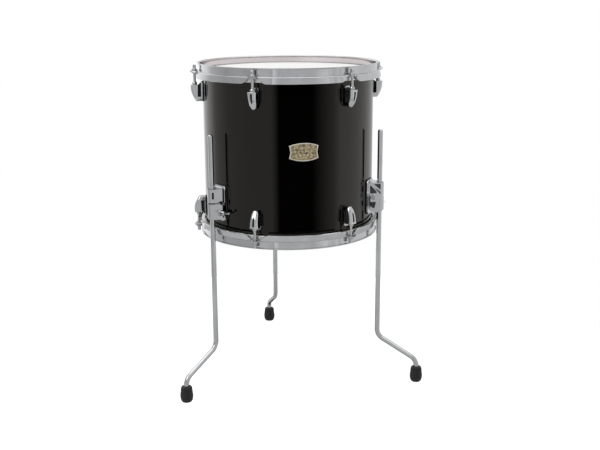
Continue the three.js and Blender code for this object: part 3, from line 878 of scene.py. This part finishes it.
def rod_washer():
    inner, outer = ROD_RADIUS + 0.4, 6.5
    corners = [(inner, WASHER_LOW, 0.2), (outer, WASHER_LOW, 0.4)]
    corners += [(outer, WASHER_HIGH, 0.5), (inner, WASHER_HIGH, 0.2)]
    return finished(ring_of(corners, 48, ROD_CIRCLE), STEEL)


# ---- brackets and their clamps ----

bracket_low, bracket_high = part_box("leg_bracket_left")
BRACKET = (bracket_low.z + bracket_high.z) / 2 / MM - MIDDLE.z / MM
CASTING_TOP = 31
CASTING_BOTTOM = -31
PLATE_HALF_HEIGHT = 36
HALF_WIDTH = 16.5
BARREL = 9
FLANK = SHELL_RADIUS + 10
SCREW = SHELL_RADIUS + 12
SCREW_LEVEL = -17
DOWEL_LEVELS = (-6, -27)
PLATE_FACE = SHELL_RADIUS + 4.2
BORE = LEG_RADIUS + 1.3
SPLIT = 0.6  # half of the gap between the bracket and the jaw
CLEAR_OF_CASTING = 40


def leg_bore():
    return rod(BORE, CASTING_BOTTOM - 1, CASTING_TOP + 1, LEG_CIRCLE, 48)


def casting(inner, low, high, rounding):
    """The casting from above: flanks that close in on a barrel round the leg."""
    corner = Vector((HALF_WIDTH, FLANK - LEG_CIRCLE))
    tangent = atan2(corner.y, corner.x) + acos(BARREL / corner.length)
    right = [(HALF_WIDTH, -inner, 0), (HALF_WIDTH, -FLANK, 5)]
    barrel = []
    steps = 20
    for i in range(steps + 1):
        angle = tangent + (pi - 2 * tangent) * i / steps
        barrel.append((BARREL * cos(angle), -LEG_CIRCLE - BARREL * sin(angle), 0))
    left = [(-HALF_WIDTH, -FLANK, 5), (-HALF_WIDTH, -inner, 0)]
    return prism(rounded(right + barrel + left), low, high, PLAN, rounding)


def casting_side():
    """The casting from the side, with its bottom tapering in towards the plate."""
    inner, outer = PLATE_FACE - 3, LEG_CIRCLE + BARREL + 1
    corners = [(inner, CASTING_BOTTOM + 9, 0), (inner + 12, CASTING_BOTTOM - 0.5, 4)]
    corners += [(outer - 5, CASTING_BOTTOM - 0.5, 3), (outer + 0.5, CASTING_BOTTOM + 7, 5)]
    corners += [(outer + 0.5, CASTING_TOP + 1, 0), (inner, CASTING_TOP + 1, 0)]
    return prism(rounded(corners), -HALF_WIDTH - 1, HALF_WIDTH + 1, SIDE)


def slab(low, high):
    """Everything between two values of X in front of the plate, to be cut away."""
    beyond = 230
    outline = [(low, -PLATE_FACE), (high, -PLATE_FACE), (high, -beyond), (low, -beyond)]
    return prism(outline, -CLEAR_OF_CASTING, CLEAR_OF_CASTING, PLAN)


def bracket_plate(grow, inner, outer, rounding):
    """The bracket's flat-faced plate, hollowed to sit on the round shell."""
    x = 18 + grow
    h = PLATE_HALF_HEIGHT + grow
    corners = [(-x, -h, 7), (x, -h, 7), (x, h, 7), (-x, h, 7)]
    plate = prism(rounded(corners, 6), SHELL_RADIUS - 8, outer, FRONT, rounding, round_low=False)
    hollow = turned([(inner, -h - 1), (inner, h + 1)], SHELL_SIDES)
    return cut(plate, hollow)


def bracket():
    """The bracket: a closed block above, the fixed half of the clamp below, ribs, boss and plate."""
    floor = 3.2
    under_top = CASTING_TOP - 2.5
    deep, shallow = -BORE - 1.2, 5 - HALF_WIDTH
    block = casting(PLATE_FACE - 2.5, floor, CASTING_TOP, 1.5)
    fixed = cut(casting(PLATE_FACE - 2.5, CASTING_BOTTOM, 7, 1.5), slab(-SPLIT, CLEAR_OF_CASTING))
    block = common(join(block, fixed), casting_side())
    pockets = [
        ([(191.5, under_top, 1), (205.5, under_top, 1), (205.5, 15, 0.5)], deep),
        ([(PLATE_FACE + 3, under_top - 0.5, 1.5), (PLATE_FACE + 3, 9, 2), (200, 9, 0.5)], shallow),
        ([(192.5, 21.5, 0.4), (205.5, 5, 0.4), (205.5, 11, 0.4)], deep),
        ([(PLATE_FACE + 3, -9, 1), (PLATE_FACE + 3, -17, 2), (193, -24, 2), (196.5, -9, 2)], shallow),
    ]
    pockets = [prism(rounded(corners), -CLEAR_OF_CASTING, x, SIDE) for corners, x in pockets]
    recess_corners = [(PLATE_FACE + 2, 0, 0), (195, 0, 0), (195, 4, 1.5), (191, 6.5, 2)]
    recess_corners += [(PLATE_FACE + 2, 6.5, 1)]
    recess_floor = 8.5
    recess = prism(rounded(recess_corners), recess_floor, 20, SIDE)
    slot_corners = [(201.8, 11, 1.5), (205.2, 11, 1.5), (205.2, 25, 1.5), (201.8, 25, 1.5)]
    slot = prism(rounded(slot_corners), BORE - 2, 20, SIDE)
    boss_out, boss_level = 192, 2
    boss = rod(6, -HALF_WIDTH - 0.8, -BORE - 1, boss_out, 40, height=boss_level, ease=0.8)
    dimple = rod(3.1, -HALF_WIDTH - 2, -HALF_WIDTH + 1.6, boss_out, 32, height=boss_level)
    stud = rod(2.6, -HALF_WIDTH + 0.5, -BORE - 1, boss_out, 32, height=boss_level, ease=0.5)
    screw_hole = rod(3.3, -8.5, 0, SCREW, 32, height=SCREW_LEVEL)
    dowels = [rod(1.5, -4, 7, SCREW, 24, height=level, ease=0.4) for level in DOWEL_LEVELS]
    low, ridge, high = CASTING_TOP - 6, CASTING_TOP - 0.6, PLATE_HALF_HEIGHT - 2
    profile = [(-1, low, 0), (8, low, 0), (8, ridge, 0), (2, CASTING_TOP + 0.4, 6)]
    profile += [(-0.5, high, 0), (-1, high, 0)]
    shoulder_corners = [(PLATE_FACE + out, height, radius) for out, height, radius in profile]
    shoulder = prism(rounded(shoulder_corners, 6), -10, 10, SIDE, 0.8)
    ribbed = join(cut(block, *pockets), boss)
    body = cut(ribbed, recess, slot, dimple, screw_hole)
    plate = bracket_plate(0, SHELL_RADIUS + 1.2, PLATE_FACE, 1.5)
    whole = join(cut(join(body, shoulder), leg_bore()), stud, plate, *dowels)
    mesh = finished(whole, CAST_CHROME, POCKET_SHADE)
    # the pocket floors take the painted pocket shade
    for face in mesh.polygons:
        x = face.center.x / MM
        sunk = min(abs(x - floor) for floor in (deep, shallow, recess_floor)) < 0.05
        face.material_index = 1 if sunk and abs(face.normal.x) > 0.98 else 0
    return mesh


def jaw():
    """The half of the clamp that the wing screw draws in, its top edge falling away towards the plate."""
    inner = PLATE_FACE + 1.8
    half = cut(casting(inner, CASTING_BOTTOM, 0.7, 1.8), slab(-CLEAR_OF_CASTING, SPLIT))
    half = common(half, casting_side())
    fall = prism([(inner - 1, 2), (inner - 1, -6), (inner + 10, 2)], 5, 20, SIDE)
    seat = rod(6, BORE, HALF_WIDTH, SCREW, 40, height=SCREW_LEVEL, ease=0.6)
    screw_hole = rod(3.3, 0, HALF_WIDTH + 1, SCREW, 32, height=SCREW_LEVEL)
    dowel_holes = [rod(1.8, 0, 7.5, SCREW, 24, height=level) for level in DOWEL_LEVELS]
    return finished(cut(join(cut(half, fall), seat), screw_hole, leg_bore(), *dowel_holes), CAST_CHROME)


def wing_screw():
    """A screw with a domed hub and two short flat wings."""
    seat = HALF_WIDTH + 0.3
    sides = 36
    rings = [circle(1.9, -8, sides)] + threaded(2.9, -7.4, seat - 1, sides)
    hub = [(2.8, 0), (4.2, 0), (4.5, 0.4), (4.5, 6), (4, 7.6), (2.6, 8.7), (1, 9)]
    rings += [circle(radius, seat + out, sides) for radius, out in hub]
    shaft = loft(rings)
    shaft.data.transform(lying(SCREW, SCREW_LEVEL))
    wing = [(3.5, 3, 1), (13, 7.8, 4), (16, 8.2, 1.5), (17, 5.8, 1.5), (8.5, 1, 2)]
    wing = [(seat + x, y, radius) for x, y, radius in wing]
    corners = [(x, y - SCREW, radius) for x, y, radius in wing]
    corners += [(x, -y - SCREW, radius) for x, y, radius in reversed(wing)]
    half_thick = 1.7
    wings = prism(rounded(corners, 5), SCREW_LEVEL - half_thick, SCREW_LEVEL + half_thick, PLAN, 1)
    return finished(join(shaft, wings), CAST_CHROME)


def leg_sleeve():
    low, high = CASTING_BOTTOM + 0.5, CASTING_TOP - 0.5
    inner, outer = LEG_RADIUS + 0.3, LEG_RADIUS + 1
    corners = [(inner, low, 0.2), (outer, low, 0.3), (outer, high, 0.3), (inner, high, 0.2)]
    return finished(ring_of(corners, 40, LEG_CIRCLE), NYLON)


# ---- legs and feet ----

LEG_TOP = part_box("leg_left")[1].z / MM
LEG_REACH = 88
foot_low, foot_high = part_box("leg_foot_left")
FOOT_HEIGHT = (foot_high.z - foot_low.z) / MM
FOOT_FLOOR = 11
LEG_DROP = 0.1  # how far a leg can be let down, in metres


def leg():
    """A round bar, straight down, out to the side and down again, with a domed top."""
    bend = 22.8
    high, knee = Vector((0, 0, LEG_TOP)), Vector((0, 0, 92.5))
    ankle, low = Vector((0, -LEG_REACH, 48)), Vector((0, -LEG_REACH, FOOT_FLOOR + 0.3))
    path = arc_points(high, knee, ankle, bend, 14) + arc_points(knee, ankle, low, bend, 14) + [low]
    sides = 40
    dome = 3.2
    rings = []
    for i in range(7):
        angle = pi / 2 * i / 6
        level = LEG_TOP - dome * (1 - cos(angle))
        rings.append((Vector((0, 0, level)), max(LEG_RADIUS * sin(angle), 0.4)))
    rings += [(point, LEG_RADIUS) for point in path]
    loops = []
    for i, (centre, radius) in enumerate(rings):
        along = (rings[min(i + 1, len(rings) - 1)][0] - rings[max(i - 1, 0)][0]).normalized()
        across = Vector((1, 0, 0))
        upward = along.cross(across)
        loop = []
        for j in range(sides):
            angle = 2 * pi * j / sides
            loop.append(centre + radius * (across * cos(angle) + upward * sin(angle)))
        loops.append(loop)
    return finished(loft(loops), TUBE_CHROME, crease=50)


def foot():
    """A barrel-shaped rubber foot whose collar is notched all round."""
    lobes = 12

    def notched(radius, height, angle):
        depth = 1.1 * smooth_step(height, 19, 24) * (1 - 0.5 * smooth_step(height, 31, 33))
        return radius - depth * (0.5 + 0.5 * cos(lobes * angle)) ** 3

    bore = LEG_RADIUS + 0.3
    outer = [(7.5, 0), (9.6, 0.5), (11.1, 2.5), (12.2, 5), (12.8, 8), (13.1, 11.5), (13.1, 15)]
    outer += [(12.9, 17.5), (12.5, 19.3), (12.2, 21), (12, 24), (11.6, 28), (11.1, 31)]
    outer += [(10.3, 32.3), (9.2, FOOT_HEIGHT)]
    outer = [(partial(notched, radius, height), height) for radius, height in outer]
    inner = [(bore + 0.5, FOOT_HEIGHT), (bore, FOOT_HEIGHT - 0.5), (bore, FOOT_FLOOR)]
    body = turned([(0.5, 0)] + outer + inner + [(0.5, FOOT_FLOOR)], 144, centre=(0, -LEG_REACH))
    return finished(body, RUBBER, crease=45)


# ---- assembly ----


def dress_end(end, flipped):
    """Head, hoop, lugs, rods and washers of one end."""
    skin, slot = (CLEAR, "clear_film") if flipped else (COATED, "coated_film")
    place(f"{end}_film", finished(film(), skin, crease=60), at(0, flipped), "drum", f"{end}_head")
    place(f"{end}_flesh_hoop", finished(flesh_hoop(), ALUMINIUM), at(0, flipped), "drum")
    turned_by = 180 if flipped else 0
    place(f"{end}_hoop_pressed", hoop(), at(turned_by, flipped), "drum", f"{end}_hoop")
    meshes = {
        "casting": lug(),
        "swivel_nut": swivel_nut(),
        "liner": lug_liner(),
        # the shade web is a dark sheet of painted shade in each lug's wedge
        "shade_web": lug_shade_web(),
        "gasket": finished(lug_plate(0.7, SHELL_RADIUS + 0.1, SHELL_RADIUS + 1.2, 0.3), RUBBER),
        "threaded": tension_rod(),
        "disc": rod_washer(),
    }
    inserts = {"swivel_nut": "steel", "liner": "nylon", "shade_web": "nylon", "gasket": "rubber"}
    for number, azimuth in enumerate(LUG_AZIMUTHS, 1):
        spot = at(azimuth, flipped)
        node = f"{end}_lug_{number}"
        place(f"{node}_casting", meshes["casting"], spot, "drum", node)
        for part, slot in inserts.items():
            place(f"{node}_{part}", meshes[part], spot, "drum")
        for kind, body, part in (("tension_rod", "rod", "threaded"), ("rod_washer", "washer", "disc")):
            node = f"{end}_{kind}_{number}"
            place(f"{node}_{part}", meshes[part], spot, f"{end}_{body}_{number}", node)


def dress_legs():
    meshes = {
        "leg_bracket": (bracket(), "drum", "chrome"),
        "clamp_jaw": (jaw(), "jaw", "chrome"),
        "wing_screw": (wing_screw(), "wing_screw", "chrome"),
        "leg_sleeve": (leg_sleeve(), "sleeve", "nylon"),
    }
    gasket = finished(bracket_plate(0.8, SHELL_RADIUS + 0.1, SHELL_RADIUS + 1.25, 0.3), RUBBER)
    leg_mesh = leg()
    foot_mesh = foot()
    for name, (azimuth, turned_by) in LEGS.items():
        spot = at(azimuth) @ Matrix.Translation((0, 0, BRACKET * MM))
        for part, (mesh, body, slot) in meshes.items():
            node = f"{part}_{name}"
            place(f"{node}_finish", mesh, spot, body if body == "drum" else f"{body}_{name}", node)
        place(f"leg_bracket_{name}_gasket", gasket, spot, "drum")
        ground = standing(azimuth, turned_by)
        place(f"leg_{name}_bar", leg_mesh, ground, f"leg_{name}", f"leg_{name}")
        place(f"leg_foot_{name}_rubber", foot_mesh, ground, f"leg_{name}", f"leg_foot_{name}")


place("shell_lacquered", shell(), at(0), "drum", "shell")
place("badge_plate", badge(), at(0), "drum", "badge")
for end, flipped in ENDS.items():
    dress_end(end, flipped)
dress_legs()

# ---- camera, floor and light ----


def camera():
    """An eye-level studio view, a little to the left of the badge and looking down on the batter head."""
    azimuth, pitch, roll = -10.24, 14.21, -0.25
    yaw = 0.17
    distance, aside, height = 1939, 18, 810.8
    data = bpy.data.cameras.new("camera")
    data.sensor_width = 36
    data.lens = 55.48
    piece = new_object("camera", data)
    around = turn(azimuth)
    spot = around @ Vector((aside * MM, -distance * MM, 0)) + Vector((MIDDLE.x, MIDDLE.y, height * MM))
    aim = turn(azimuth - yaw) @ Matrix.Rotation(radians(90 - pitch), 4, "X") @ turn(roll)
    piece.matrix_world = Matrix.Translation(spot) @ aim
    bpy.context.scene.camera = piece


def paper(name, shade, glow, level):
    """A round of studio paper at this height."""
    shape = bmesh.new()
    bmesh.ops.create_circle(shape, cap_ends=True, segments=96, radius=0.95)
    mesh = bpy.data.meshes.new(name)
    shape.to_mesh(mesh)
    shape.free()
    piece = new_object(name, mesh)
    finish = Finish(name, Roughness=0.9, Emission_Strength=glow)
    finish.shader.inputs["Emission Color"].default_value = (1, 1, 1, 1)
    low = shade - 0.02
    finish.tones(finish.noise(30, 4), (shade, shade, shade), (low, low, low))
    mesh.materials.append(finish.material)
    piece.location.z = level
    return piece


def floor():
    """White paper for the camera, below a leg that is let down, and paper that the drum reflects."""
    seen = paper("floor", 0.9, 0.68, -0.001 - LEG_DROP)
    seen.visible_glossy = False
    seen.visible_diffuse = False
    seen.visible_transmission = False
    seen.visible_shadow = False
    mirrored = paper("floor_in_reflections", 0.62, 0.0, -0.001)
    mirrored.visible_camera = False
    mirrored.visible_shadow = False


def world():
    """A studio whose walls brighten towards the back, with a dark opening that faces the drum."""
    opening = radians(-2)
    ceiling, overhead = 0.55, 0.8  # the heights, as sines, between which the walls give way to white
    studio = bpy.data.worlds.new("studio")
    studio.use_nodes = True
    tree = studio.node_tree
    direction = add_node(tree, "TexCoord").outputs["Generated"]
    inputs = {"Vector": direction, "Angle": pi / 2 - opening}
    about = add_node(tree, "VectorRotate", inputs, rotation_type="Z_AXIS")
    x, y, height = add_node(tree, "SeparateXYZ", {0: about.outputs[0]}).outputs
    angle = add_node(tree, "Math", {0: y, 1: x}, operation="ARCTAN2")
    share = add_node(tree, "MapRange", {0: angle.outputs[0], 1: -pi, 2: pi})
    ramp = add_node(tree, "ValToRGB", {0: share.outputs[0]})
    # degrees from the opening, and the wall's brightness there
    stops = ((-150, 1.1), (-133, 0.95), (-122, 0.6), (-95, 0.47), (-30, 0.46), (-20, 0.0))
    stops += ((24, 0.0), (40, 0.2), (55, 0.42), (66, 0.78), (110, 0.75), (150, 0.78))
    elements = ramp.color_ramp.elements
    while len(elements) < len(stops):
        elements.new(0.5)
    for element, (degrees, value) in zip(elements, stops):
        element.position = (degrees + 180) / 360
        element.color = (value, value, value, 1)
    above = add_node(tree, "MapRange", {0: height, 1: ceiling, 2: overhead})
    inputs = {0: above.outputs[0], 6: ramp.outputs[0], 7: (1, 1, 1, 1)}
    colour = add_node(tree, "Mix", inputs, data_type="RGBA").outputs[2]
    lighting = tree.nodes["Background"]
    tree.links.new(colour, lighting.inputs["Color"])
    backdrop = add_node(tree, "Background", {"Color": (1, 1, 1, 1)})
    camera_ray = add_node(tree, "LightPath").outputs["Is Camera Ray"]
    inputs = {0: camera_ray, 1: lighting.outputs[0], 2: backdrop.outputs[0]}
    choice = add_node(tree, "MixShader", inputs)
    tree.links.new(choice.outputs[0], tree.nodes["World Output"].inputs[0])
    bpy.context.scene.world = studio


def softbox(name, azimuth, height, distance, size, power):
    """A soft light of this width and height that faces the drum."""
    target = Vector((0, 0, 0.4))
    data = bpy.data.lights.new(name, "AREA")
    data.shape = "RECTANGLE"
    data.size, data.size_y = size
    data.energy = power
    piece = new_object(name, data)
    spot = turn(azimuth) @ Vector((0, -distance, 0)) + Vector((0, 0, height))
    piece.location = spot
    piece.rotation_mode = "QUATERNION"
    piece.rotation_quaternion = (target - spot).to_track_quat("-Z", "Y")
    piece.visible_camera = False
    return piece


def lit(name, wanted):
    """A collection of the pieces whose materials fit, for a light to be limited to."""
    group = bpy.data.collections.new(name)
    for piece in bpy.context.scene.objects:
        if piece.type == "MESH" and wanted(list(piece.data.materials)):
            group.objects.link(piece)
    return group


def metal_fill():
    """Large soft panels in front of the drum that light only its plated pieces."""
    plated = lit("plated", lambda materials: any(m in METALS for m in materials))
    wide = softbox("metal_fill", -2, 0.4, 3.4, (7.5, 4.4), 15)
    gap = softbox("gap_fill", 6, 0.4, 3.2, (4.3, 4.4), 26)
    side = softbox("side_fill", 47, 0.4, 3.2, (0.85, 4.4), 3.2)
    for panel in (wide, gap, side):
        panel.light_linking.receiver_collection = plated


camera()
floor()
world()
softbox("overhead", 0, 2.6, 0.01, (2.6, 2.6), 13)
key = softbox("key", -50, 1.9, 2.2, (1.4, 1.4), 12)
unpressed = lit("all_but_hoops", lambda materials: PRESSED_CHROME not in materials)
key.light_linking.receiver_collection = unpressed
metal_fill()
bpy.context.scene.view_settings.view_transform = "Standard"
